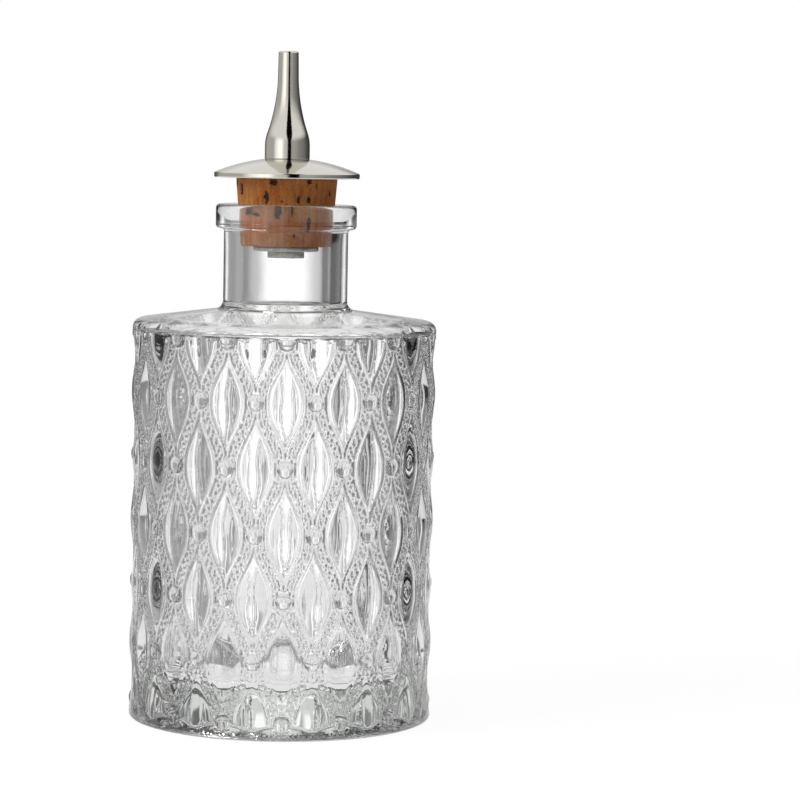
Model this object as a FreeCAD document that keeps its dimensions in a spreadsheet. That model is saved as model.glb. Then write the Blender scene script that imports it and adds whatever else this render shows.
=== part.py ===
import FreeCAD, Part
import math
import operator
import os

import Sketcher

# A dasher bottle for bitters: a pressed glass bottle and a tapered cork that carries a metal
# dasher. The dasher is a spout and a domed cap on a hollow stem, which runs through the cork and is
# held from below by a washer and a nut. The wall carries a shallow lattice of leaves and pearls.
# Millimetres, +Z up, the origin at the middle of the foot.

SHEET_NAME = "sizes"
SIZES = [
    # glass body
    ("body_radius", 33.0),
    ("wall_height", 86.7),
    ("wall_thickness", 6.5),
    ("base_thickness", 9.5),
    ("foot_ring_width", 6.0),
    ("foot_recess_depth", 1.2),
    ("heel_rounding", 1.2),
    ("shoulder_rise", 2.6),
    ("shoulder_thickness", 2.6),
    ("shoulder_rounding", 2.0),
    ("cavity_rounding", 6.0),
    ("roof_rounding", 2.0),
    # lattice on the wall, its turn in degrees
    ("lattice_bottom", 1.4),
    ("lattice_top_drop", 2.0),
    ("lattice_turn", 0.9),
    ("first_row_height", 3.7),
    ("last_row_drop", 3.2),
    ("relief_inset", 0.1),
    ("relief_depth", 0.9),
    ("pearl_radius", 1.75),
    # glass neck and lip
    ("neck_radius", 13.5),
    ("neck_length", 17.3),
    ("neck_root_rounding", 2.0),
    ("lip_radius", 15.3),
    ("lip_height", 5.3),
    ("lip_rounding", 0.9),
    ("mouth_rounding", 0.5),
    # cork
    ("cork_bottom_radius", 9.8),
    ("cork_top_radius", 11.0),
    ("cork_length", 14.5),
    ("cork_exposed", 5.7),
    ("cork_clearance", 0.08),
    ("cork_rounding", 0.4),
    # domed cap
    ("cap_radius", 15.8),
    ("cap_rim_thickness", 1.1),
    ("cap_rise", 3.0),
    ("cap_curve_radius", 40.0),
    ("cap_rim_rounding", 0.3),
    # spout
    ("spout_foot_radius", 4.88),
    ("spout_foot_height", 4.2),
    ("spout_foot_rounding", 3.0),
    ("spout_waist_radius", 3.95),
    ("spout_waist_height", 7.0),
    ("spout_neck_radius", 2.27),
    ("spout_neck_height", 17.0),
    ("spout_curve_radius", 40.0),
    ("spout_tip_radius", 2.16),
    ("spout_height", 23.3),
    ("spout_tip_rounding", 0.5),
    ("spout_bore_radius", 1.1),
    # hollow stem with its washer and nut
    ("stem_radius", 2.5),
    ("stem_bore_radius", 1.5),
    ("stem_clearance", 0.1),
    ("thread_clearance", 0.03),
    ("socket_depth", 5.0),
    ("socket_end_gap", 0.3),
    ("washer_radius", 7.1),
    ("washer_thickness", 1.1),
    ("nut_across_flats", 7.0),
    ("nut_thickness", 1.5),
    ("nut_chamfer", 0.25),
]

SAME_PLACE = 1e-4
HALF_HEXAGON_FLAT = 0.5 / math.sqrt(3)
HALF_COLUMNS = 32
ROWS = 7


class Length:
    """A size that knows its value and the spreadsheet formula that it comes from."""

    def __init__(self, value, formula):
        self.value = value
        self.formula = formula

    def __add__(self, other):
        return joined(self, "+", other)

    def __sub__(self, other):
        return joined(self, "-", other)

    def __mul__(self, other):
        return joined(self, "*", other)

    def __truediv__(self, other):
        return joined(self, "/", other)

    def __neg__(self):
        return joined(-1, "*", self)


SIGNS = {"+": operator.add, "-": operator.sub, "*": operator.mul, "/": operator.truediv}
ZERO = Length(0.0, "0")


def as_length(size):
    return size if isinstance(size, Length) else Length(float(size), repr(float(size)))


def joined(first, sign, second):
    first, second = as_length(first), as_length(second)
    value = SIGNS[sign](first.value, second.value)
    return Length(value, f"({first.formula} {sign} {second.formula})")


class Sizes:
    """The spreadsheet's cells, each as a Length."""

    def __init__(self, sheet):
        self.sheet = sheet

    def __getattr__(self, alias):
        return Length(float(self.sheet.get(alias)), f"{SHEET_NAME}.{alias}")


def make_sheet(doc):
    sheet = doc.addObject("Spreadsheet::Sheet", SHEET_NAME)
    for row, (alias, value) in enumerate(SIZES, start=1):
        sheet.set(f"A{row}", alias)
        sheet.set(f"B{row}", str(value))
        sheet.setAlias(f"B{row}", alias)
    doc.recompute()
    return Sizes(sheet)


# Helpers for bodies, sketches and features


def new_body(doc, label):
    body = doc.addObject("PartDesign::Body", label)
    body.Label = label
    return body


def origin_feature(body, role):
    return next(feature for feature in body.Origin.OriginFeatures if feature.Role == role)


def attach(feature, support):
    feature.AttachmentSupport = (support, [""])
    feature.MapMode = "FlatFace"


def arc_between(start, end, radius, bulges_left):
    """The circular arc from start to end that bulges to the left or right of the way there."""
    middle = (start + end) * 0.5
    along = end - start
    left = FreeCAD.Vector(-along.y, along.x, 0).normalize()
    to_centre = math.sqrt(radius**2 - (along.Length / 2) ** 2)
    outward = left if bulges_left else -left
    top = middle + outward * (radius - to_centre)
    return Part.Arc(start, top, end)


def bind(sketch, kind, where, length):
    constraint = Sketcher.Constraint(kind, *where, length.value)
    sketch.setExpression(f"Constraints[{sketch.addConstraint(constraint)}]", length.formula)


def draw_outline(body, name, plane, outline):
    """A closed outline of corners (across, up). A third entry (radius, bulges_left) makes the edge
    from that corner to the next one an arc."""
    sketch = body.newObject("Sketcher::SketchObject", name)
    attach(sketch, plane)
    corners = [FreeCAD.Vector(corner[0].value, corner[1].value, 0) for corner in outline]
    ends = []
    for index, corner in enumerate(outline):
        start, end = corners[index], corners[(index + 1) % len(corners)]
        if len(corner) == 2:
            sketch.addGeometry(Part.LineSegment(start, end), False)
            ends.append((1, 2))
        else:
            radius, bulges_left = corner[2]
            sketch.addGeometry(arc_between(start, end, radius.value, bulges_left), False)
            ends.append((2, 1) if bulges_left else (1, 2))
    for index, corner in enumerate(outline):
        following = (index + 1) % len(outline)
        joint = (index, ends[index][1], following, ends[following][0])
        sketch.addConstraint(Sketcher.Constraint("Coincident", *joint))
        bind(sketch, "DistanceX", (-1, 1, index, ends[index][0]), corner[0])
        bind(sketch, "DistanceY", (-1, 1, index, ends[index][0]), corner[1])
        if len(corner) == 3:
            bind(sketch, "Radius", (index,), corner[2][0])
    return sketch


def turned(body, name, outline, kind="PartDesign::Revolution"):
    """A full turn of an outline (radius, height) about the bottle's axis, added or cut away."""
    sketch = draw_outline(body, f"{name}_outline", origin_feature(body, "XZ_Plane"), outline)
    feature = body.newObject(kind, name)
    feature.Profile = sketch
    feature.ReferenceAxis = (sketch, ["V_Axis"])
    feature.Angle = 360
    body.Document.recompute()
    return feature


def round_edges(body, name, size, places, kind="PartDesign::Fillet"):
    """Rounds or chamfers the circular edges of the body at these places (radius, height)."""
    base = body.Tip
    names = []
    for number, edge in enumerate(base.Shape.Edges, start=1):
        if not isinstance(edge.Curve, Part.Circle):
            continue
        circle = edge.Curve
        for radius, height in places:
            same_radius = abs(circle.Radius - radius.value) < SAME_PLACE
            if same_radius and abs(circle.Center.z - height.value) < SAME_PLACE:
                names.append(f"Edge{number}")
    if len(names) < len(places):
        raise ValueError(f"{name}: {len(names)} edges found at {len(places)} places")
    feature = body.newObject(kind, name)
    feature.Base = (base, names)
    feature.setExpression("Size" if kind == "PartDesign::Chamfer" else "Radius", size.formula)
    body.Tip = feature
    body.Document.recompute()
    return feature


# Heights up the axis, each from the pieces below it


class Levels:
    def __init__(self, s):
        self.neck_root = s.wall_height + s.shoulder_rise
        self.lip_bottom = self.neck_root + s.neck_length
        self.lip_top = self.lip_bottom + s.lip_height
        self.cork_top = self.lip_top + s.cork_exposed
        self.cork_bottom = self.cork_top - s.cork_length
        self.cap_rim = self.cork_top + s.cap_rim_thickness
        self.cap_top = self.cap_rim + s.cap_rise
        self.washer_bottom = self.cork_bottom - s.washer_thickness
        self.nut_bottom = self.washer_bottom - s.nut_thickness
        self.socket_top = self.cap_top + s.socket_depth
        self.spout_top = self.cap_top + s.spout_height


# Glass bottle


class Lattice:
    """The wall's lattice in rows and half columns. Pearls and middles of leaves take turns along
    both, so a cell between two rows has pearls at two opposite corners and leaves at the others."""

    def __init__(self, s):
        first_row = s.first_row_height.value
        self.row_step = (s.wall_height.value - s.last_row_drop.value - first_row) / (ROWS - 1)
        self.rows = [first_row + row * self.row_step for row in range(ROWS)]
        self.bottom = s.lattice_bottom.value
        self.top = s.wall_height.value - s.lattice_top_drop.value
        self.turn = s.lattice_turn.value
        self.inside = s.body_radius.value - 0.75 * s.wall_thickness.value
        self.crown = s.body_radius.value - s.relief_inset.value
        self.valley = self.crown - s.relief_depth.value
        self.pearl_up = s.pearl_radius.value / self.row_step
        self.pearl_across = s.pearl_radius.value * HALF_COLUMNS / (2 * math.pi * self.crown)

    def place(self, column, height, radius):
        angle = math.radians(self.turn - 90 + column * 360 / HALF_COLUMNS)
        return FreeCAD.Vector(radius * math.cos(angle), radius * math.sin(angle), height)

    def cell(self, column, row):
        """The triangles of a cell: a quarter of each of its pearls and a flank of each leaf."""
        mirrored = (column + row) % 2 == 1

        def at(across, up, radius):
            height = self.rows[row] + up * self.row_step
            return self.place(column + (1 - across if mirrored else across), height, radius)

        slant = math.sqrt(0.5)
        quarter = [(1, 0), (slant, slant), (0, 1)]
        edge = [(self.pearl_across * x, self.pearl_up * y) for x, y in quarter]
        low = [at(across, up, self.valley) for across, up in edge]
        high = [at(1 - across, 1 - up, self.valley) for across, up in edge]
        triangles = []
        for corner, pearl_edge in ((0, low), (1, high)):
            pearl = at(corner, corner, self.crown)
            triangles += [(pearl, *pearl_edge[:2]), (pearl, *pearl_edge[1:])]
        for corner, first, last in ((1, low[0], high[2]), (0, low[2], high[0])):
            leaf = at(corner, 1 - corner, self.crown)
            triangles += [(leaf, first, low[1]), (leaf, low[1], high[1]), (leaf, high[1], last)]
        return triangles

    def ring(self, row, height):
        """The corners of a row's cross-section, set at this height."""
        corners = []
        for column in range(HALF_COLUMNS):
            crown = self.place(column, height, self.crown)
            if (column + row) % 2 == 0:
                before = self.place(column - self.pearl_across, height, self.valley)
                after = self.place(column + self.pearl_across, height, self.valley)
                corners += [before, crown, after]
            else:
                corners.append(crown)
        return corners

    def band(self, row, height):
        """Upright walls from a row to the lattice's end at this height, and the flat end itself."""
        start, end = self.ring(row, self.rows[row]), self.ring(row, height)
        walls = [(start[i - 1], start[i], end[i], end[i - 1]) for i in range(len(start))]
        return walls + [tuple(end)]

    def sleeve(self):
        """The lattice as a sleeve whose inside lies within the thickness of the wall."""
        facets = self.band(0, self.bottom) + self.band(ROWS - 1, self.top)
        for row in range(ROWS - 1):
            for column in range(HALF_COLUMNS):
                facets += self.cell(column, row)
        faces = [Part.Face(Part.makePolygon([*facet, facet[0]])) for facet in facets]
        shell = Part.Shell(faces)
        shell.sewShape()
        return Part.Solid(shell).cut(Part.makeCylinder(self.inside, self.top + self.bottom))


def bottle_blank(body, s, level):
    """The outside of the bottle, still solid: foot, wall, sloping shoulder, neck and lip. Along the
    lattice its own outline keeps inside the lattice's valleys."""
    recess_radius = s.body_radius - s.foot_ring_width
    core_radius = s.body_radius - s.wall_thickness / 2
    lattice_top = s.wall_height - s.lattice_top_drop
    turned(
        body,
        "blank",
        [
            (ZERO, s.foot_recess_depth),
            (recess_radius - s.foot_recess_depth, s.foot_recess_depth),
            (recess_radius, ZERO),
            (s.body_radius, ZERO),
            (s.body_radius, s.lattice_bottom),
            (core_radius, s.lattice_bottom),
            (core_radius, lattice_top),
            (s.body_radius, lattice_top),
            (s.body_radius, s.wall_height),
            (s.neck_radius, level.neck_root),
            (s.neck_radius, level.lip_bottom),
            (s.lip_radius, level.lip_bottom),
            (s.lip_radius, level.lip_top),
            (ZERO, level.lip_top),
        ],
    )
    round_edges(body, "heel", s.heel_rounding, [(s.body_radius, ZERO)])
    round_edges(body, "shoulder", s.shoulder_rounding, [(s.body_radius, s.wall_height)])
    round_edges(body, "neck_root", s.neck_root_rounding, [(s.neck_radius, level.neck_root)])
    lip_edges = [(s.lip_radius, level.lip_bottom), (s.lip_radius, level.lip_top)]
    round_edges(body, "lip", s.lip_rounding, lip_edges)


def bottle_cavity(body, s, level):
    """The inside: a round chamber, the neck's bore, and a mouth that tapers as the cork does."""
    cavity_radius = s.body_radius - s.wall_thickness
    bore_radius = s.cork_bottom_radius + s.cork_clearance
    taper = (s.cork_top_radius - s.cork_bottom_radius) / s.cork_length
    mouth_radius = bore_radius + taper * (level.lip_top - level.cork_bottom)
    chamber_top = s.wall_height - s.shoulder_thickness
    bore_bottom = level.neck_root - s.shoulder_thickness
    turned(
        body,
        "cavity",
        [
            (ZERO, s.base_thickness),
            (cavity_radius, s.base_thickness),
            (cavity_radius, chamber_top),
            (bore_radius, bore_bottom),
            (bore_radius, level.cork_bottom),
            (mouth_radius, level.lip_top),
            (ZERO, level.lip_top),
        ],
        "PartDesign::Groove",
    )
    round_edges(body, "chamber", s.cavity_rounding, [(cavity_radius, s.base_thickness)])
    round_edges(body, "roof", s.roof_rounding, [(cavity_radius, chamber_top)])
    round_edges(body, "inner_neck_root", s.neck_root_rounding, [(bore_radius, bore_bottom)])
    round_edges(body, "mouth", s.mouth_rounding, [(mouth_radius, level.lip_top)])


def add_lattice(body, s):
    sleeve = body.Document.addObject("Part::Feature", "lattice_sleeve")
    sleeve.Shape = Lattice(s).sleeve()
    lattice = new_body(body.Document, "lattice")
    lattice.BaseFeature = sleeve
    joint = body.newObject("PartDesign::Boolean", "relief")
    joint.Type = "Fuse"
    joint.setObjects([lattice])
    body.Tip = joint
    body.Document.recompute()


def glass_bottle(doc, s, level):
    body = new_body(doc, "glass_bottle")
    bottle_blank(body, s, level)
    solid_volume = body.Shape.Volume
    bottle_cavity(body, s, level)
    print(f"inside of the glass to the brim: {(solid_volume - body.Shape.Volume) / 1000:.0f} ml")
    add_lattice(body, s)
    return body


# Stopper


def cork_stopper(doc, s, level):
    """A tapered cork, bored for the stem."""
    body = new_body(doc, "cork_stopper")
    hole = s.stem_radius + s.stem_clearance
    outline = [
        (hole, level.cork_bottom),
        (s.cork_bottom_radius, level.cork_bottom),
        (s.cork_top_radius, level.cork_top),
        (hole, level.cork_top),
    ]
    turned(body, "cork", outline)
    bottom_edge = (s.cork_bottom_radius, level.cork_bottom)
    top_edge = (s.cork_top_radius, level.cork_top)
    round_edges(body, "cork_edges", s.cork_rounding, [bottom_edge, top_edge])
    return body


def domed_cap(doc, s, level):
    """A cast cap with a thin rim and a low dome, flat on top where the spout stands."""
    body = new_body(doc, "domed_cap")
    hole = s.stem_radius + s.stem_clearance
    outline = [
        (hole, level.cork_top),
        (s.cap_radius, level.cork_top),
        (s.cap_radius, level.cap_rim, (s.cap_curve_radius, False)),
        (s.spout_foot_radius, level.cap_top),
        (hole, level.cap_top),
    ]
    turned(body, "cap", outline)
    rim_edges = [(s.cap_radius, level.cork_top), (s.cap_radius, level.cap_rim)]
    round_edges(body, "cap_rim", s.cap_rim_rounding, rim_edges)
    return body


def dasher_spout(doc, s, level):
    """The spout: a round foot that draws in to a slim neck, with a fine bore to its tip and a wider
    socket below for the stem."""
    body = new_body(doc, "dasher_spout")
    socket_radius = s.stem_radius + s.thread_clearance
    foot_top = level.cap_top + s.spout_foot_height
    outline = [
        (socket_radius, level.cap_top),
        (s.spout_foot_radius, level.cap_top),
        (s.spout_foot_radius, foot_top),
        (
            s.spout_waist_radius,
            level.cap_top + s.spout_waist_height,
            (s.spout_curve_radius, True),
        ),
        (s.spout_neck_radius, level.cap_top + s.spout_neck_height),
        (s.spout_tip_radius, level.spout_top),
        (s.spout_bore_radius, level.spout_top),
        (s.spout_bore_radius, level.socket_top),
        (socket_radius, level.socket_top),
    ]
    turned(body, "spout", outline)
    round_edges(body, "spout_foot", s.spout_foot_rounding, [(s.spout_foot_radius, foot_top)])
    round_edges(body, "spout_tip", s.spout_tip_rounding, [(s.spout_tip_radius, level.spout_top)])
    return body


def hollow_stem(doc, s, level):
    """The tube that joins the spout to the nut, and carries the liquid through the cork."""
    body = new_body(doc, "hollow_stem")
    top = level.socket_top - s.socket_end_gap
    outline = [
        (s.stem_bore_radius, level.nut_bottom),
        (s.stem_radius, level.nut_bottom),
        (s.stem_radius, top),
        (s.stem_bore_radius, top),
    ]
    turned(body, "stem", outline)
    return body


def retaining_washer(doc, s, level):
    body = new_body(doc, "retaining_washer")
    hole = s.stem_radius + s.stem_clearance
    outline = [
        (hole, level.washer_bottom),
        (s.washer_radius, level.washer_bottom),
        (s.washer_radius, level.cork_bottom),
        (hole, level.cork_bottom),
    ]
    turned(body, "washer", outline)
    return body


def retaining_nut(doc, s, level):
    """A thin six-sided nut on the stem's lower end."""
    body = new_body(doc, "retaining_nut")
    flat = s.nut_across_flats / 2
    half_side = s.nut_across_flats * HALF_HEXAGON_FLAT
    corner = half_side * 2
    hexagon = [
        (corner, ZERO),
        (half_side, flat),
        (-half_side, flat),
        (-corner, ZERO),
        (-half_side, -flat),
        (half_side, -flat),
    ]
    sketch = draw_outline(body, "hexagon", origin_feature(body, "XY_Plane"), hexagon)
    sketch.setExpression("AttachmentOffset.Base.z", level.nut_bottom.formula)
    blank = body.newObject("PartDesign::Pad", "nut_blank")
    blank.Profile = sketch
    blank.setExpression("Length", s.nut_thickness.formula)
    doc.recompute()
    hole = s.stem_radius + s.thread_clearance
    outline = [
        (ZERO, level.nut_bottom),
        (hole, level.nut_bottom),
        (hole, level.washer_bottom),
        (ZERO, level.washer_bottom),
    ]
    turned(body, "nut_thread", outline, "PartDesign::Groove")
    lower_edge = [(hole, level.nut_bottom)]
    round_edges(body, "nut_lead_in", s.nut_chamfer, lower_edge, "PartDesign::Chamfer")
    return body


PIECES = [
    glass_bottle,
    cork_stopper,
    domed_cap,
    dasher_spout,
    hollow_stem,
    retaining_washer,
    retaining_nut,
]


def check_document(doc, bodies):
    for feature in doc.Objects:
        if "Invalid" in feature.State or "Error" in feature.State:
            raise RuntimeError(f"{feature.Label} failed: {feature.State}")
    for body in bodies:
        if body.Shape.isNull() or not body.Shape.isValid():
            raise RuntimeError(f"{body.Label} has no valid shape")


def main():
    doc = FreeCAD.newDocument("bitters_bottle")
    s = make_sheet(doc)
    level = Levels(s)
    bodies = [make_piece(doc, s, level) for make_piece in PIECES]
    doc.recompute()
    check_document(doc, bodies)
    os.makedirs("parts", exist_ok=True)
    for body in bodies:
        body.Shape.exportStep(f"parts/{body.Label}.step")
        box = body.Shape.BoundBox
        print(f"{body.Label}: {box.ZMin:.2f} to {box.ZMax:.2f}, {body.Shape.Volume:.0f} mm3")


main()
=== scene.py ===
import math
import random

import bmesh
import bpy
from mathutils import Matrix, Vector
from mathutils.geometry import delaunay_2d_cdt


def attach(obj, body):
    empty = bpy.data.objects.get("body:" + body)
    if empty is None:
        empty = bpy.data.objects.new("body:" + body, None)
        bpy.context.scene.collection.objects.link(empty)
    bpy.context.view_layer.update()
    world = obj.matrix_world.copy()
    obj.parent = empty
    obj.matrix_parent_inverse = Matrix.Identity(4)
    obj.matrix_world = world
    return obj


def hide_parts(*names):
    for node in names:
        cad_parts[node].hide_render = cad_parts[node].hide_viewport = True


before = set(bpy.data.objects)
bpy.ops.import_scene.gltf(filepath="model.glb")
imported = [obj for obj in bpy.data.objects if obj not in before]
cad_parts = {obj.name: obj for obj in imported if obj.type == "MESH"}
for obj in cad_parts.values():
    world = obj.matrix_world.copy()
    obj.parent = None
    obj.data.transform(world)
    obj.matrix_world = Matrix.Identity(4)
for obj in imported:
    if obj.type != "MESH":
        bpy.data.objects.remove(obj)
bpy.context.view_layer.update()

mm = 0.001
ringSteps = 128  # sides of a turned shape, unless its own code says otherwise
profileWeld = 0.002  # points of a turned profile closer than this, in mm, become one
tiny = 1e-6  # a distance, in mm, that counts as none
bpy.ops.object.select_all(action="DESELECT")


# Helpers for meshes

def newObject(name, verts, faces=(), edges=()):
    mesh = bpy.data.meshes.new(name)
    mesh.from_pydata(verts, edges, faces)
    piece = bpy.data.objects.new(name, mesh)
    bpy.context.collection.objects.link(piece)
    return piece


def pickOnly(*pieces):
    bpy.ops.object.select_all(action="DESELECT")
    for piece in pieces:
        piece.select_set(True)
    bpy.context.view_layer.objects.active = pieces[0]


def rounded(before, corner, after, radius, steps=6):
    # the arc that rounds a profile's corner, from the leg before it to the leg after it
    p, q, r = Vector(before), Vector(corner), Vector(after)
    a = (p - q).normalized()
    b = (r - q).normalized()
    half = a.angle(b) / 2
    reach = radius / math.tan(half)
    centre = q + (a + b).normalized() * (radius / math.sin(half))
    start = (q + a * reach) - centre
    turn = start.angle_signed((q + b * reach) - centre)
    points = []
    for i in range(steps + 1):
        spoke = start.copy()
        spoke.rotate(Matrix.Rotation(-turn * i / steps, 2))
        points.append(tuple(centre + spoke))
    return points


def roundedProfile(corners, steps=6):
    # a closed profile from (radius, height, rounding) corners
    points = []
    for i, (r, z, rounding) in enumerate(corners):
        if rounding == 0:
            points.append((r, z))
        else:
            after = corners[(i + 1) % len(corners)]
            points += rounded(corners[i - 1][:2], (r, z), after[:2], rounding, steps)
    return points


def bow(start, end, radius, side, steps):
    # points between two places on an arc of this radius; side 1 or -1 is the way it bulges
    a, b = Vector(start), Vector(end)
    along = b - a
    middle = (a + b) / 2
    across = Vector((along.y, -along.x)).normalized() * side
    centre = middle - across * math.sqrt(radius ** 2 - (along.length / 2) ** 2)
    turn = (a - centre).angle_signed(b - centre)
    points = []
    for i in range(1, steps):
        spoke = a - centre
        spoke.rotate(Matrix.Rotation(-turn * i / steps, 2))
        points.append((centre.x + spoke.x, centre.y + spoke.y, 0))
    return points


def turnProfile(name, profile, startDeg=-90, closed=False, steps=ringSteps):
    # spins a profile of (radius, height) points, in mm, about the bottle's axis
    a = math.radians(startDeg)
    verts = [(p[0] * mm * math.cos(a), p[0] * mm * math.sin(a), p[1] * mm) for p in profile]
    edges = [(i, i + 1) for i in range(len(verts) - 1)]
    if closed:
        edges.append((len(verts) - 1, 0))
    piece = newObject(name, verts, edges=edges)
    pickOnly(piece)
    bpy.ops.object.mode_set(mode="EDIT")
    bpy.ops.mesh.select_all(action="SELECT")
    bpy.ops.mesh.spin(steps=steps, angle=2 * math.pi, center=(0, 0, 0), axis=(0, 0, 1))
    bpy.ops.mesh.select_all(action="SELECT")
    bpy.ops.mesh.remove_doubles(threshold=profileWeld * mm)
    bpy.ops.mesh.normals_make_consistent(inside=False)
    bpy.ops.object.mode_set(mode="OBJECT")
    return piece


def smooth(piece, angleDeg=40):
    pickOnly(piece)
    bpy.ops.object.shade_smooth_by_angle(angle=math.radians(angleDeg))


def seat(piece, node, body):
    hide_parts(node)
    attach(piece, body)
    mesh = piece.data
    mesh.calc_loop_triangles()
    print(piece.name, "modelled,", len(mesh.loop_triangles), "triangles")


# Glass bottle: sizes in mm

glassBottle = {
    "valleyRadius": 32.1,  # wall between the raised figures
    "bandRadius": 33.0,  # plain band under the shoulder
    "heelRadius": 33.0,
    "columns": 16,
    "frontTurnDeg": 0.9,  # the front column stands this far round to the right
    "pearlRows": (3.7, 16.6, 29.6, 43.3, 57.3, 71.3, 83.7),  # heights, a little uneven as pressed
    "rowStep": 13.3,
    "pearlRadius": 1.75,
    "pearlHeight": 0.95,
    "pearlClear": 0.35,  # the figures round a pearl run out over this width
    "leafHalfWidth": 3.9,
    "leafTipHalfWidth": 0.35,
    "leafHalfLength": 11.5,
    "leafBelly": 1.15,  # how full the leaf is about its middle
    "leafPoint": 2.05,  # how strongly the leaf draws in to its tips
    "leafHeight": 0.95,
    "leafCrown": 5.6,  # half the length of the leaf's own swelling
    "leafRidge": 0.2,  # share of its height that runs on to the tips
    "grooveDepth": 0.15,  # round the pearls
    "grooveRing": 1.12,  # where the groove is deepest, in radii of the pearl
    "grooveWidth": 0.2,
    "rimHeight": 0.27,
    "rimWidth": 0.44,  # half the width of the thread round a leaf
    "rimFlank": 0.18,  # width of the slope at either side of the thread
    "beadRadius": 0.52,
    "beadHeight": 0.36,
    "beadStep": 0.86,
    "beadSpread": 0.28,  # the beads stand by turns on either side of the band's middle
    "ledgeHeight": 1.0,  # from the top row of pearls up to the band
    "ledgeFade": 0.8,  # share of that height where the figures start to run out into the band
    "footStrip": 2.3,  # from the lowest row of pearls down to the heel
    "footFade": 0.3,
    "fadeEnd": 0.95,  # share of either height where they have run out
    "shoulderRounding": 2.0,
    "shoulderCorner": 86.7,
    "neckRoot": 89.3,
    "neckRadius": 13.5,
    "neckRootRounding": 2.0,
    "neckTopRounding": 0.7,
    "lipBottom": 106.6,
    "lipTop": 111.9,
    "lipRadius": 15.3,
    "lipRounding": 0.9,
    "mouthRadius": 10.61,
    "mouthRounding": 0.6,
    "boreRadius": 9.88,
    "seatBottom": 103.1,
    "chamberRadius": 26.5,
    "chamberTop": 85.2,  # the shoulder shows thinner than the solid's
    "boreBottom": 87.8,
    "chamberRounding": 6.0,
    "roofRounding": 1.2,
    "floorHeight": 9.5,
    "heelRounding": 0.8,
    "footRingRounding": 0.5,
    "recessRadius": 27.0,
    "recessDepth": 1.2,
    "recessRounding": 1.0,
    # how finely the wall is meshed: rings of points as (share of the radius, steps), and distances
    "pearlRings": ((0.4, 2), (0.7, 3), (0.88, 4), (0.97, 5), (1.01, 5), (1.14, 5)),  # steps in a quarter
    "beadRings": ((0, 1), (0.7, 5), (1.02, 7)),  # steps all round
    "beadPathSteps": 400,
    "leafRows": 16,
    "leafPearlClear": 1.2,  # in radii of the pearl
    "stripRows": 5,
    "stripColumns": 8,
    "stripEndClear": 0.12,
    "stripPearlClear": 0.15,
    "pointSpacing": 0.17,
    "figureSpacing": 0.12,  # on leaves and beads
    "pearlSpacing": 0.05,
    "pointSnap": 0.1,  # points this near a cell's side go onto it
    "weld": 0.004,
}


def cellSize():
    g = glassBottle
    return math.pi * g["valleyRadius"] / g["columns"], g["rowStep"]


def leafEdge(run):
    # from the leaf's middle line to the middle of its rim, this far above or below its widest place
    g = glassBottle
    q = min(abs(run) / g["leafHalfLength"], 1) ** g["leafBelly"]
    tip = g["leafTipHalfWidth"]
    return tip + (g["leafHalfWidth"] - tip) * math.cos(math.pi / 2 * q) ** g["leafPoint"]


def leafTilt(run):
    # how much longer a step across is than a step square to the leaf's rim
    reach = 0.05
    slope = (leafEdge(run + reach) - leafEdge(run - reach)) / (2 * reach)
    return math.sqrt(1 + slope * slope)


def leafRelief(across, run):
    g = glassBottle
    edge = leafEdge(run)
    gap = min(abs(across - edge), abs(across + edge)) / leafTilt(run)
    rim = g["rimHeight"] * min(max((g["rimWidth"] - gap) / g["rimFlank"], 0), 1)
    if across >= edge:
        return rim
    ridge = g["leafRidge"]
    crown = ridge * (edge / g["leafHalfWidth"]) + (1 - ridge) * math.exp(-((run / g["leafCrown"]) ** 2))
    return max(rim, g["leafHeight"] * crown * (1 - (across / edge) ** 2))


def beadPath():
    # bead centres on either side of the middle of the band between two leaves, from pearl to pearl
    g = glassBottle
    width, height = cellSize()
    clear = g["pearlRadius"] + g["beadRadius"]
    steps = g["beadPathSteps"]
    path = []
    for i in range(steps + 1):
        t = height * i / steps
        s = (width - leafEdge(t) + leafEdge(height - t)) / 2
        if math.hypot(s, t) > clear and math.hypot(width - s, height - t) > clear:
            path.append(Vector((s, t)))
    runs = [0]
    for a, b in zip(path, path[1:]):
        runs.append(runs[-1] + (b - a).length)
    count = round(runs[-1] / g["beadStep"])
    beads = []
    for i in range(count + 1):
        want = runs[-1] * i / count
        k = max(j for j, run in enumerate(runs) if run <= want + 1e-9)
        along = (path[min(k + 1, len(path) - 1)] - path[max(k - 1, 0)]).normalized()
        side = Vector((-along.y, along.x)) * g["beadSpread"]
        beads.append(path[k] + side if i % 2 else path[k] - side)
    return beads


def dome(distance, radius, height):
    return height * math.sqrt(max(0, 1 - (distance / radius) ** 2))


def cellRelief(s, t, beads):
    # how far the wall stands out at this place in a cell
    g = glassBottle
    width, height = cellSize()
    leaves = max(leafRelief(width - s, t), leafRelief(s, height - t))
    nearPearl = min(math.hypot(s, t), math.hypot(width - s, height - t))
    pearl = dome(nearPearl, g["pearlRadius"], g["pearlHeight"])
    fromGroove = nearPearl - g["grooveRing"] * g["pearlRadius"]
    groove = g["grooveDepth"] * math.exp(-((fromGroove / g["grooveWidth"]) ** 2))
    bead = 0
    if beads:
        nearBead = min(math.hypot(s - b.x, t - b.y) for b in beads)
        bead = dome(nearBead, g["beadRadius"], g["beadHeight"])
    clear = min(max(nearPearl - g["pearlRadius"], 0) / g["pearlClear"], 1)
    return pearl if pearl > 0 else max(bead, leaves) * clear - groove


def addPoint(points, s, t, spacing=glassBottle["pointSpacing"]):
    # keeps points apart, and snaps those that lie near the cell's sides onto them
    width, height = cellSize()
    snap = glassBottle["pointSnap"]
    s = 0 if s < snap else width if s > width - snap else s
    t = 0 if t < snap else height if t > height - snap else t
    if all((p.x - s) ** 2 + (p.y - t) ** 2 > spacing ** 2 for p in points):
        points.append(Vector((s, t)))


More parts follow.
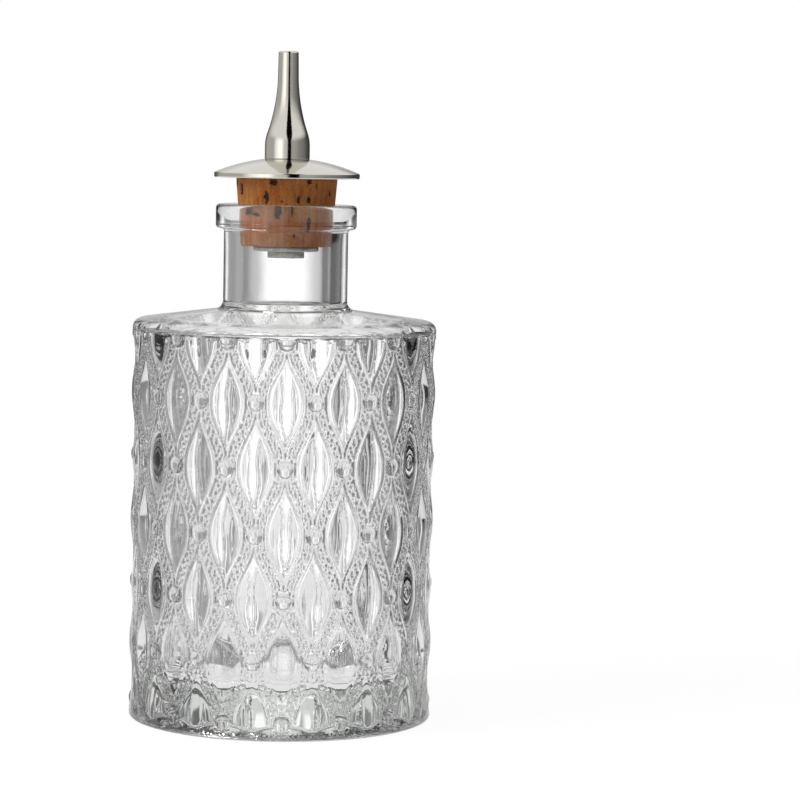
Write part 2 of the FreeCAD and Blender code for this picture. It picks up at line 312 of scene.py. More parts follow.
def pearlPoints(points, cornerS, cornerT, turnS, turnT, top=math.inf):
    # a quarter of a pearl in a cell's corner; turnS and turnT, 1 or -1, lead into the cell
    g = glassBottle
    addPoint(points, cornerS, cornerT)
    for share, steps in g["pearlRings"]:
        for i in range(steps + 1):
            a = math.pi / 2 * i / steps
            s = share * g["pearlRadius"] * math.cos(a)
            t = share * g["pearlRadius"] * math.sin(a)
            if t < top:
                addPoint(points, cornerS + turnS * s, cornerT + turnT * t, g["pearlSpacing"])


def leafPoints(points):
    g = glassBottle
    width, height = cellSize()
    pearl = g["pearlRadius"] * g["leafPearlClear"]
    for i in range(g["leafRows"] + 1):
        run = g["leafHalfLength"] * i / g["leafRows"]
        edge = leafEdge(run)
        rim = g["rimWidth"] * leafTilt(run)
        # fewer points across the leaf where it is narrow
        inside = (0, 0.34, 0.67) if edge > 1.6 else (0, 0.5) if edge > 0.9 else (0,)
        top = rim * (1 - g["rimFlank"] / g["rimWidth"])
        offsets = [edge + step for step in (0, -rim, rim, -top, top)]
        offsets += [(edge - rim) * share for share in inside]
        for across in offsets:
            if across < 0:
                continue
            for s, t in ((width - across, run), (across, height - run)):
                far = math.hypot(s, t) > pearl and math.hypot(width - s, height - t) > pearl
                if far and -tiny <= s <= width + tiny:
                    addPoint(points, s, t, g["figureSpacing"])


def makeCell():
    # one cell of the lattice: from a pearl to the next pearl up and half a step round, with a quarter
    # of a leaf in each of its other two corners and a row of beads between them
    g = glassBottle
    width, height = cellSize()
    beads = beadPath()
    points = []
    pearlPoints(points, 0, 0, 1, 1)
    pearlPoints(points, width, height, -1, -1)
    for bead in beads:
        for share, steps in g["beadRings"]:
            for i in range(steps):
                a = 2 * math.pi * i / steps
                s = bead.x + g["beadRadius"] * share * math.cos(a)
                t = bead.y + g["beadRadius"] * share * math.sin(a)
                if 0 <= s <= width:
                    addPoint(points, s, t, g["figureSpacing"])
    leafPoints(points)
    for s in (0, width):
        for t in (0, height):
            addPoint(points, s, t)
    return triangulate(points, lambda s, t: cellRelief(s, t, beads))


def triangulate(points, relief):
    # a mesh over flat points, each raised by the relief at its place
    result = delaunay_2d_cdt(points, [], [], 0, tiny)
    verts = [(p.x, p.y, relief(p.x, p.y)) for p in result[0]]
    faces = [tuple(face) for face in result[2]]
    return verts, faces


def makeStrip(sideS, length, endHeight, fadeStart):
    # a strip that joins a row of pearls, with its points at sideS, to a plain ring
    g = glassBottle
    width, _ = cellSize()
    points = [Vector((s, 0)) for s in sideS]
    pearlPoints(points, 0, 0, 1, 1, length - g["stripPearlClear"])
    perCell = ringSteps // (2 * g["columns"])
    for row in range(1, g["stripRows"]):
        for i in range(g["stripColumns"] + 1):
            addPoint(points, width * i / g["stripColumns"], length * row / g["stripRows"])
    points = [p for p in points if p.y < length - g["stripEndClear"]]
    points += [Vector((width * i / perCell, length)) for i in range(perCell + 1)]

    def relief(s, t):
        x = min(max((t / length - fadeStart) / (g["fadeEnd"] - fadeStart), 0), 1)
        fade = x * x * (3 - 2 * x)
        return cellRelief(s, t, None) * (1 - fade) + endHeight * fade

    return triangulate(points, relief)


def wrap(cell, column, flip, baseZ, rise, verts, faces):
    # lays a cell or strip on the wall: flip mirrors it across its width, rise is mm up for each mm of it
    g = glassBottle
    width, _ = cellSize()
    first = len(verts)
    for s, t, h in cell[0]:
        along = column + ((width - s) if flip else s) / width
        a = math.radians(g["frontTurnDeg"] - 90) + math.pi / g["columns"] * along
        r = (g["valleyRadius"] + h) * mm
        verts.append((r * math.cos(a), r * math.sin(a), (baseZ + rise * t) * mm))
    turnOver = flip != (rise < 0)
    for face in cell[1]:
        loop = [first + i for i in face]
        faces.append(loop[::-1] if turnOver else loop)


def makeLattice():
    g = glassBottle
    rows = g["pearlRows"]
    cell = makeCell()
    sideS = sorted({v[0] for v in cell[0] if v[1] < tiny})
    topStrip = makeStrip(sideS, g["ledgeHeight"], g["bandRadius"] - g["valleyRadius"], g["ledgeFade"])
    footStrip = makeStrip(sideS, g["footStrip"], g["heelRadius"] - g["valleyRadius"], g["footFade"])
    verts, faces = [], []
    for column in range(2 * g["columns"]):
        odd = column % 2 == 1
        for row, (low, high) in enumerate(zip(rows, rows[1:])):
            rise = (high - low) / g["rowStep"]
            if row % 2 == 0:
                wrap(cell, column, odd, low, rise, verts, faces)
            else:
                wrap(cell, column, odd, high, -rise, verts, faces)
        wrap(topStrip, column, odd, rows[-1], 1, verts, faces)
        wrap(footStrip, column, odd, rows[0], -1, verts, faces)
    print("lattice cell", len(cell[1]), "faces, wall", len(faces))
    return newObject("latticeWall", verts, faces)


def upperProfile():
    # from the band over shoulder, neck and lip, then down the inside to the middle of the floor
    g = glassBottle
    wallFoot = (g["bandRadius"], g["pearlRows"][-1] + g["ledgeHeight"])
    shoulder = (g["bandRadius"], g["shoulderCorner"])
    root = (g["neckRadius"], g["neckRoot"])
    neckTop = (g["neckRadius"], g["lipBottom"])
    lipLow = (g["lipRadius"], g["lipBottom"])
    lipHigh = (g["lipRadius"], g["lipTop"])
    mouth = (g["mouthRadius"], g["lipTop"])
    seatRing = (g["boreRadius"], g["seatBottom"])
    bore = (g["boreRadius"], g["boreBottom"])
    roof = (g["chamberRadius"], g["chamberTop"])
    corner = (g["chamberRadius"], g["floorHeight"])
    middle = (0, g["floorHeight"])
    points = [wallFoot]
    points += rounded(wallFoot, shoulder, root, g["shoulderRounding"], 8)
    points += rounded(shoulder, root, neckTop, g["neckRootRounding"], 8)
    points += rounded(root, neckTop, lipLow, g["neckTopRounding"], 4)
    points += rounded(neckTop, lipLow, lipHigh, g["lipRounding"])
    points += rounded(lipLow, lipHigh, mouth, g["lipRounding"])
    points += rounded(lipHigh, mouth, seatRing, g["mouthRounding"], 5)
    points += [seatRing]
    points += rounded(seatRing, bore, roof, g["neckRootRounding"])
    points += rounded(bore, roof, corner, g["roofRounding"])
    # rings between, so that no face runs all the way
    points += [(g["chamberRadius"], g["floorHeight"] + share * (g["chamberTop"] - g["floorHeight"]))
               for share in (0.8, 0.6, 0.4, 0.2)]
    points += rounded(roof, corner, middle, g["chamberRounding"], 10)
    points += [(share * g["chamberRadius"], g["floorHeight"]) for share in (0.6, 0.4, 0.2)]
    return points + [middle]


def lowerProfile():
    # from the wall round the heel and under the foot to the middle of the recess
    g = glassBottle
    start = (g["heelRadius"], g["pearlRows"][0] - g["footStrip"])
    heel = (g["heelRadius"], 0)
    ringInside = (g["recessRadius"], 0)
    recess = (g["recessRadius"] - g["recessDepth"], g["recessDepth"])
    middle = (0, g["recessDepth"])
    points = [start]
    points += rounded(start, heel, ringInside, g["heelRounding"])
    points += rounded(heel, ringInside, recess, g["footRingRounding"], 3)
    points += rounded(ringInside, recess, middle, g["recessRounding"], 4)
    points += [(share * g["recessRadius"], g["recessDepth"]) for share in (0.6, 0.3)]
    return points + [middle]


def makeGlass():
    startDeg = glassBottle["frontTurnDeg"] - 90
    wall = makeLattice()
    upper = turnProfile("glassUpper", upperProfile(), startDeg)
    lower = turnProfile("glassLower", lowerProfile(), startDeg)
    pickOnly(wall, upper, lower)
    bpy.ops.object.join()
    wall.name = "pressed_glass_bottle"
    bpy.ops.object.mode_set(mode="EDIT")
    bpy.ops.mesh.select_all(action="SELECT")
    bpy.ops.mesh.remove_doubles(threshold=glassBottle["weld"] * mm)
    bpy.ops.mesh.normals_make_consistent(inside=False)
    bpy.ops.object.mode_set(mode="OBJECT")
    check = bmesh.new()
    check.from_mesh(wall.data)
    openEdges = sum(1 for edge in check.edges if not edge.is_manifold)
    print("glass:", openEdges, "open edges,", round(check.calc_volume() * 1e9), "cubic mm")
    check.free()
    smooth(wall, 60)
    return wall


glass = makeGlass()
seat(glass, "glass_bottle", "bottle")


# Cork stopper: sizes in mm

corkStopper = {
    "bottom": 103.1,
    "top": 117.6,
    "bottomRadius": 9.8,
    "topRadius": 11.0,
    "rounding": 0.4,
    "holeRadius": 2.6,
    "sides": 168,
    "rings": 36,
    # lenticels as (degrees round from the front, height, half width, half length)
    "frontPits": ((-15, 116.8, 0.95, 0.75), (26, 117.0, 0.6, 0.55), (36, 116.0, 0.22, 0.7),
                  (-24, 113.6, 0.65, 1.3), (14, 113.0, 0.35, 1.0), (27, 113.1, 0.5, 0.9),
                  (-64, 115.2, 0.7, 1.4), (-5, 112.7, 0.35, 0.35), (-43, 110.3, 0.9, 0.9),
                  (-33, 109.8, 0.8, 0.45), (-9, 110.2, 0.75, 1.5), (6, 110.6, 0.22, 1.5),
                  (25, 108.3, 0.4, 1.3), (9, 105.6, 0.25, 0.5), (60, 114.5, 0.4, 0.8)),
    "strayPits": 34,
    "strayTurnDeg": (80, 280),  # round the sides and the back
    "strayHalfWidth": (0.25, 0.85),
    "strayHalfLength": (0.4, 1.4),
    "strayMargin": 1.0,  # clear of either end
    "pitDepth": 0.35,
    "pitSteepness": 2.2,  # how soon a pit reaches its depth
    "pitMargin": 0.2,  # nothing is pressed in nearer than this to either end
    "sideBand": 0.6,  # points less than this inside the lower radius belong to the side
    "seed": 11,
}


def corkPits():
    c = corkStopper
    draw = random.Random(c["seed"])
    pits = list(c["frontPits"])
    heights = (c["bottom"] + c["strayMargin"], c["top"] - c["strayMargin"])
    for _ in range(c["strayPits"]):
        pits.append((draw.uniform(*c["strayTurnDeg"]), draw.uniform(*heights),
                     draw.uniform(*c["strayHalfWidth"]), draw.uniform(*c["strayHalfLength"])))
    return pits


def pitShare(angle, radius, z, pits):
    # 1 in the middle of the nearest lenticel, 0 at its edge, less outside
    best = -1
    for turnDeg, height, halfWidth, halfLength in pits:
        away = (angle - math.radians(turnDeg - 90) + math.pi) % (2 * math.pi) - math.pi
        best = max(best, 1 - math.hypot(away * radius / halfWidth, (z - height) / halfLength))
    return best


def makeCork():
    c = corkStopper
    sides = [(c["bottomRadius"] + share * (c["topRadius"] - c["bottomRadius"]),
              c["bottom"] + share * (c["top"] - c["bottom"]), 0)
             for share in ((i + 0.5) / c["rings"] for i in range(1, c["rings"] - 1))]
    profile = roundedProfile([
        (c["holeRadius"], c["bottom"], 0), (c["bottomRadius"], c["bottom"], c["rounding"]), *sides,
        (c["topRadius"], c["top"], c["rounding"]), (c["holeRadius"], c["top"], 0)], 3)
    piece = turnProfile("tapered_cork", profile, closed=True, steps=c["sides"])
    pits = corkPits()
    margin = c["pitMargin"]
    shares = []
    for vert in piece.data.vertices:
        x, y, z = vert.co / mm
        radius = math.hypot(x, y)
        onSide = radius > c["bottomRadius"] - c["sideBand"] and c["bottom"] + margin < z < c["top"] - margin
        share = pitShare(math.atan2(y, x), radius, z, pits) if onSide else -1
        if share > 0:
            keep = 1 - c["pitDepth"] * min(1, c["pitSteepness"] * share) / radius
            vert.co.x *= keep
            vert.co.y *= keep
        shares.append(share)
    pitMap = piece.data.attributes.new("pit", "FLOAT", "POINT")
    pitMap.data.foreach_set("value", shares)
    smooth(piece, 50)
    return piece


cork = makeCork()
seat(cork, "cork_stopper", "cork")


# Domed cap: sizes in mm

domedCap = {
    "bottom": 117.6,
    "rimTop": 118.7,
    "top": 121.7,
    "radius": 15.8,
    "rimRounding": 0.3,
    "curveRadius": 40.0,
    "seatRadius": 4.88,  # where the spout stands
    "holeRadius": 2.6,
}


def makeCap():
    c = domedCap
    rim = (c["radius"], c["rimTop"])
    spoutSeat = (c["seatRadius"], c["top"])
    profile = roundedProfile([
        (c["holeRadius"], c["bottom"], 0), (c["radius"], c["bottom"], c["rimRounding"]),
        (*rim, c["rimRounding"]), *bow(rim, spoutSeat, c["curveRadius"], 1, 16),
        (*spoutSeat, 0), (c["holeRadius"], c["top"], 0)])
    piece = turnProfile("domed_cap_disc", profile, closed=True, steps=2 * ringSteps)
    smooth(piece)
    return piece


cap = makeCap()
seat(cap, "domed_cap", "dasher")


# Dasher spout: sizes in mm

dasherSpout = {
    "bottom": 121.7,
    "top": 145.0,
    "footRadius": 4.88,
    "footTop": 125.9,
    "footRounding": 9.0,
    "seamRounding": 0.2,
    "waist": (3.95, 128.7),
    "neck": (2.27, 138.7),
    "curveRadius": 40.0,
    "tipRadius": 2.16,
    "tipRounding": 0.5,
    "boreRadius": 1.1,
    "boreRounding": 0.15,
    "socketRadius": 2.53,
    "socketTop": 126.7,
}


def makeSpout():
    d = dasherSpout
    profile = roundedProfile([
        (d["socketRadius"], d["bottom"], 0), (d["footRadius"], d["bottom"], d["seamRounding"]),
        (d["footRadius"], d["footTop"], d["footRounding"]), (*d["waist"], 0),
        *bow(d["waist"], d["neck"], d["curveRadius"], -1, 14), (*d["neck"], 0),
        (d["tipRadius"], d["top"], d["tipRounding"]), (d["boreRadius"], d["top"], d["boreRounding"]),
        (d["boreRadius"], d["socketTop"], 0), (d["socketRadius"], d["socketTop"], 0)])
    piece = turnProfile("dasher_spout_turned", profile, closed=True)
    smooth(piece)
    return piece


spout = makeSpout()
seat(spout, "dasher_spout", "dasher")


# Hollow stem: sizes in mm

hollowStem = {
    "bottom": 100.5,
    "top": 126.4,
    "radius": 2.5,
    "endRounding": 0.2,
    "boreRadius": 1.5,
    "boreRounding": 0.15,
    "threadPitch": 0.7,
    "threadDepth": 0.28,
    "threadEnds": ((100.9, 103.0), (121.9, 126.1)),  # where the nut and the spout screw on
}


def makeStem():
    h = hollowStem
    root = h["radius"] - h["threadDepth"]
    corners = [(h["boreRadius"], h["bottom"], h["boreRounding"])]
    corners.append((h["radius"], h["bottom"], h["endRounding"]))
    for low, high in h["threadEnds"]:  # turned rings stand for the thread, which nothing shows
        z = low
        while z < high:
            corners += [(h["radius"], z, 0), (root, z + h["threadPitch"] / 2, 0)]
            z += h["threadPitch"]
        corners.append((h["radius"], z, 0))
    corners += [(h["radius"], h["top"], 0), (h["boreRadius"], h["top"], 0)]
    piece = turnProfile("hollow_stem_tube", roundedProfile(corners, 3), closed=True, steps=64)
    smooth(piece, 30)
    return piece


stem = makeStem()
seat(stem, "hollow_stem", "dasher")


# Washer under the cork: sizes in mm

retainingWasher = {
    "bottom": 102.0,
    "top": 103.1,
    "radius": 7.1,
    "rounding": 0.35,
    "holeRadius": 2.6,
    "holeRounding": 0.15,
}


def makeWasher():
    w = retainingWasher
    profile = roundedProfile([
        (w["holeRadius"], w["bottom"], w["holeRounding"]), (w["radius"], w["bottom"], w["rounding"]),
        (w["radius"], w["top"], w["rounding"]), (w["holeRadius"], w["top"], 0)], 4)
    piece = turnProfile("round_washer", profile, closed=True, steps=96)
    smooth(piece)
    return piece


washer = makeWasher()
seat(washer, "retaining_washer", "dasher")


# Nut under the washer: sizes in mm

retainingNut = {
    "bottom": 100.5,
    "top": 102.0,
    "acrossFlats": 7.0,
    "turnDeg": 30,
    "holeRadius": 2.53,
    "drillLength": 6,
    "bevel": 0.22,
}


def makeNut():
    n = retainingNut
    middle = (n["bottom"] + n["top"]) / 2 * mm
    bpy.ops.mesh.primitive_cylinder_add(
        vertices=6, radius=n["acrossFlats"] / math.sqrt(3) * mm, depth=(n["top"] - n["bottom"]) * mm,
        location=(0, 0, middle), rotation=(0, 0, math.radians(n["turnDeg"])))
    piece = bpy.context.object
    piece.name = "thin_hex_nut"
    bpy.ops.mesh.primitive_cylinder_add(
        vertices=64, radius=n["holeRadius"] * mm, depth=n["drillLength"] * mm, location=(0, 0, middle))
    drill = bpy.context.object
    pickOnly(piece)
    bpy.ops.object.transform_apply(location=True, rotation=True, scale=True)
    hole = piece.modifiers.new("hole", "BOOLEAN")
    hole.object = drill
    hole.operation = "DIFFERENCE"
    bpy.ops.object.modifier_apply(modifier="hole")
    bpy.data.objects.remove(drill)
    edges = piece.modifiers.new("edges", "BEVEL")
    edges.width = n["bevel"] * mm
    edges.segments = 2
    edges.angle_limit = math.radians(40)
    bpy.ops.object.modifier_apply(modifier="edges")
    smooth(piece, 35)
    return piece


nut = makeNut()
seat(nut, "retaining_nut", "dasher")


# Materials

def colour(hexText):
    # sRGB hex to linear, as Blender's sockets take it
    parts = [int(hexText[i:i + 2], 16) / 255 for i in (0, 2, 4)]
    linear = [p / 12.92 if p <= 0.04045 else ((p + 0.055) / 1.055) ** 2.4 for p in parts]
    return (*linear, 1)


def addNode(tree, kind, values={}, links={}):
    node = tree.nodes.new("ShaderNode" + kind)
    for name, value in values.items():
        if name == "stops":  # a ramp's colours by place
            while len(node.color_ramp.elements) < len(value):
                node.color_ramp.elements.new(0.5)
            for stop, (place, shade) in zip(node.color_ramp.elements, value):
                stop.position = place
                stop.color = shade if isinstance(shade, tuple) else (shade, shade, shade, 1)
        elif isinstance(name, str) and hasattr(node, name):
            setattr(node, name, value)
        else:
            node.inputs[name].default_value = value
    for name, socket in links.items():
        tree.links.new(socket, node.inputs[name])
    return node


def newMaterial(name):
    material = bpy.data.materials.new(name)
    material.use_nodes = True
    material.node_tree.nodes.clear()
    return material, material.node_tree


def dress(piece, material):
    piece.data.materials.clear()
    piece.data.materials.append(material)


def perMm(size):
    # a noise scale that gives patches about this many mm across
    return 1 / (size * mm)


def makeClearGlass():
    # soda-lime glass, pressed in an iron mould and fire polished: clear, bright and very slightly rippled,
    # grey-green where one looks through a lot of it
    material, tree = newMaterial("pressedSodaLimeGlass")
    place = addNode(tree, "TexCoord").outputs["Object"]
    ripple = addNode(tree, "TexNoise", {"Scale": perMm(3.5), "Detail": 1.0}, {"Vector": place})
    # the ring that it stands on is stippled, as moulds have it
    split = addNode(tree, "SeparateXYZ", {}, {0: place})
    foot = addNode(tree, "MapRange", {
        "From Min": 0.2 * mm, "From Max": 1.0 * mm, "To Min": 6.0, "To Max": 0.0},
        {"Value": split.outputs["Z"]})
    stipple = addNode(tree, "TexNoise", {"Scale": perMm(0.8), "Detail": 1.0}, {"Vector": place})
    surface = addNode(tree, "Math", {"operation": "MULTIPLY_ADD"},
                      {0: stipple.outputs[0], 1: foot.outputs[0], 2: ripple.outputs[0]})
    bump = addNode(tree, "Bump", {"Strength": 0.25, "Distance": 0.06 * mm}, {"Height": surface.outputs[0]})
    shader = addNode(tree, "BsdfPrincipled", {
        "Base Color": colour("FFFFFF"), "Roughness": 0.0, "IOR": 1.52, "Transmission Weight": 1.0},
        {"Normal": bump.outputs[0]})
    tint = addNode(tree, "VolumeAbsorption", {"Color": colour("E8EAE8"), "Density": 22.0})
    addNode(tree, "OutputMaterial", {}, {"Surface": shader.outputs[0], "Volume": tint.outputs[0]})
    return material


def makePolishedNickel():
    # nickel plate on turned and polished metal: a warm mirror, with the faint ripple of the polishing wheel,
    # which is finer in life and drawn coarser so that it shows
    material, tree = newMaterial("polishedNickelPlate")
    place = addNode(tree, "TexCoord").outputs["Object"]
    ripple = addNode(tree, "TexNoise", {"Scale": perMm(0.9), "Detail": 2.0}, {"Vector": place})
    haze = addNode(tree, "TexNoise", {"Scale": perMm(4.0), "Detail": 3.0}, {"Vector": place})
    gloss = addNode(tree, "MapRange", {"From Min": 0.3, "From Max": 0.7, "To Min": 0.07, "To Max": 0.13},
                    {"Value": haze.outputs[0]})
    bump = addNode(tree, "Bump", {"Strength": 0.3, "Distance": 0.01 * mm}, {"Height": ripple.outputs[0]})
    shader = addNode(tree, "BsdfPrincipled", {"Base Color": colour("D9D6CC"), "Metallic": 1.0},
                     {"Roughness": gloss.outputs[0], "Normal": bump.outputs[0]})
    addNode(tree, "OutputMaterial", {}, {"Surface": shader.outputs[0]})
    return material


def makePlainSteel():
    # zinc-plated steel, turned and left plain: dull grey with a soft sheen and a fine mottle
    material, tree = newMaterial("zincPlatedSteel")
    place = addNode(tree, "TexCoord").outputs["Object"]
    mottle = addNode(tree, "TexNoise", {"Scale": perMm(0.7), "Detail": 3.0}, {"Vector": place})
    shade = addNode(tree, "ValToRGB", {"stops": [(0.3, colour("A3A49F")), (0.7, colour("C6C6C0"))]},
                    {0: mottle.outputs[0]})
    gloss = addNode(tree, "MapRange", {"From Min": 0.3, "From Max": 0.7, "To Min": 0.3, "To Max": 0.45},
                    {"Value": mottle.outputs[0]})
    bump = addNode(tree, "Bump", {"Strength": 0.3, "Distance": 0.02 * mm}, {"Height": mottle.outputs[0]})
    shader = addNode(tree, "BsdfPrincipled", {"Metallic": 1.0}, {
        "Base Color": shade.outputs[0], "Roughness": gloss.outputs[0], "Normal": bump.outputs[0]})
    addNode(tree, "OutputMaterial", {}, {"Surface": shader.outputs[0]})
    return material


def makeNaturalCork():
    # natural cork, cut along the bark and sanded: orange-brown, streaked along its length, fine-grained,
    # with dark lenticels; its cells are finer in life, and the grain is drawn coarser so that it shows
    material, tree = newMaterial("naturalCork")
    place = addNode(tree, "TexCoord").outputs["Object"]
    drawn = addNode(tree, "Mapping", {"Scale": (1, 1, 0.14)}, {"Vector": place})
    streaks = addNode(tree, "TexNoise", {"Scale": perMm(0.9), "Detail": 4.0, "Roughness": 0.6},
                      {"Vector": drawn.outputs[0]})
    grain = addNode(tree, "TexNoise", {"Scale": perMm(0.35), "Detail": 3.0}, {"Vector": place})
    patches = addNode(tree, "TexNoise", {"Scale": perMm(5.0), "Detail": 2.0}, {"Vector": place})
    browns = ((0.28, "935626"), (0.45, "B26F35"), (0.6, "BF7E42"), (0.75, "CE9459"))
    base = addNode(tree, "ValToRGB", {"stops": [(stop, colour(shade)) for stop, shade in browns]},
                   {0: streaks.outputs[0]})
    warm = addNode(tree, "ValToRGB", {"stops": [(0.42, colour("FFFFFF")), (0.72, colour("FFD2A8"))]},
                   {0: patches.outputs[0]})
    speck = addNode(tree, "ValToRGB", {"stops": [(0.3, colour("C9B7A6")), (0.5, colour("FFFFFF"))]},
                    {0: grain.outputs[0]})
    warmed = addNode(tree, "Mix", {"data_type": "RGBA", "blend_type": "MULTIPLY", 0: 0.7},
                     {6: base.outputs[0], 7: warm.outputs[0]})
    specked = addNode(tree, "Mix", {"data_type": "RGBA", "blend_type": "MULTIPLY", 0: 0.8},
                      {6: warmed.outputs[2], 7: speck.outputs[0]})
    pit = addNode(tree, "Attribute", {"attribute_name": "pit"})
    # the lenticels have ragged edges
    ragged = addNode(tree, "TexNoise", {"Scale": perMm(0.55), "Detail": 3.0}, {"Vector": place})
    ragShare = addNode(tree, "MapRange", {
        "From Min": 0.2, "From Max": 0.8, "To Min": -0.55, "To Max": 0.55}, {"Value": ragged.outputs[0]})
    raggedPit = addNode(tree, "Math", {"operation": "ADD"}, {0: pit.outputs["Fac"], 1: ragShare.outputs[0]})
    depth = addNode(tree, "MapRange", {"From Min": -0.06, "From Max": 0.2, "To Min": 0.0, "To Max": 1.0},
                    {"Value": raggedPit.outputs[0]})
    pitted = addNode(tree, "Mix", {"data_type": "RGBA", 7: colour("33211A")},
                     {0: depth.outputs[0], 6: specked.outputs[2]})
    height = addNode(tree, "Math", {"operation": "SUBTRACT"}, {0: grain.outputs[0], 1: depth.outputs[0]})
    bump = addNode(tree, "Bump", {"Strength": 0.4, "Distance": 0.12 * mm}, {"Height": height.outputs[0]})
    shader = addNode(tree, "BsdfPrincipled", {"Roughness": 0.75, "IOR": 1.4}, {
        "Base Color": pitted.outputs[2], "Normal": bump.outputs[0]})
    addNode(tree, "OutputMaterial", {}, {"Surface": shader.outputs[0]})
    return material


dress(glass, makeClearGlass())
dress(cork, makeNaturalCork())
polishedNickel = makePolishedNickel()
plainSteel = makePlainSteel()
for piece in (cap, spout):
    dress(piece, polishedNickel)
for piece in (stem, washer, nut):
    dress(piece, plainSteel)
print("materials made")


# Studio: floor, room, lamp and camera

studio = {
    "cameraDistance": 0.700,  # from the bottle's axis
    "cameraHeight": 0.127,
    "lens": 144.9,
    "sensorWidth": 36,
    "clipStart": 0.01,
    "pitchDeg": -4.677,
    "yawDeg": -2.075,  # the bottle stands left of the middle
    "rollDeg": 1.0,
    "floorSize": 0.9,
    "floorWhite": 0.85,  # how far the floor is drawn as plain white
    "floorMirrored": 0.7,  # share of that white that mirrors show
    "floorLevel": 1.09,
    "sweepLevel": 0.84,  # the floor as glass shows it
    "ceilingLevel": 0.9,  # in mirrors
    "gapTurn": 0.19,  # the dark gap in mirrors, in radians to the right of the camera
    "roomLight": 0.42,
    "glassRoomLight": 0.72,  # on what stands behind glass
    "lightSlant": 0.5,  # how much more of it comes from the left than from overhead
    "lampPlace": (-0.8, -0.4, 0.6),
    "lampAim": (0, 0, 0.07),
    "lampSize": (0.6, 0.6),
    "lampPower": 5.0,
}
# grey by turn, as glass shows it: 0 behind the camera, 0.25 left, 0.5 far side, 0.75 right
windowStops = [
    (0.0, 0.85), (0.07, 0.5), (0.12, 0.42), (0.25, 0.42), (0.36, 0.4), (0.41, 0.22), (0.445, 0.3),
    (0.474, 0.58), (0.49, 1.3), (0.51, 1.3), (0.526, 0.75), (0.54, 0.6), (0.556, 0.01), (0.67, 0.01),
    (0.7, 0.6), (0.76, 0.55), (0.79, 0.02), (0.86, 0.05), (0.93, 0.4), (1.0, 0.85)]
# how far glass sees the pale sweep in place of that, by how steeply it looks down (below 0) or up
sweepStops = [(-0.185, 1.0), (-0.165, 0.0), (0.165, 0.0), (0.185, 1.0), (0.25, 1.0), (0.32, 0.0)]
# grey by turn, as metal and glass mirror it
mirrorStops = [
    (0.0, 0.6), (0.05, 0.8), (0.08, 1.5), (0.12, 1.5), (0.17, 1.1), (0.21, 0.5), (0.36, 0.5), (0.42, 0.1),
    (0.46, 0.1), (0.48, 0.62), (0.51, 0.55), (0.53, 0.05), (0.64, 0.06), (0.75, 0.22), (0.83, 0.3),
    (0.9, 0.45), (1.0, 0.4)]


def makeFloor():
    bpy.ops.mesh.primitive_plane_add(size=studio["floorSize"], location=(0, 0, 0))
    floor = bpy.context.object
    floor.name = "floor"
    material, tree = newMaterial("paleFloor")
    seen = addNode(tree, "LightPath")
    mirrored = addNode(tree, "Math", {"operation": "MULTIPLY", 1: studio["floorMirrored"]},
                       {0: seen.outputs["Is Glossy Ray"]})
    shown = addNode(tree, "Math", {"operation": "MAXIMUM"},
                    {0: seen.outputs["Is Camera Ray"], 1: mirrored.outputs[0]})
    share = addNode(tree, "Math", {"operation": "MULTIPLY", 1: studio["floorWhite"]}, {0: shown.outputs[0]})
    plain = addNode(tree, "BsdfDiffuse", {"Color": colour("F6F6F6")})
    white = addNode(tree, "Emission", {"Color": colour("FFFFFF"), "Strength": studio["floorLevel"]})
    mixed = addNode(tree, "MixShader", {}, {0: share.outputs[0], 1: plain.outputs[0], 2: white.outputs[0]})
    addNode(tree, "OutputMaterial", {}, {"Surface": mixed.outputs[0]})
    dress(floor, material)
    floor.visible_transmission = False  # the glass sees the room's own soft sweep in its place


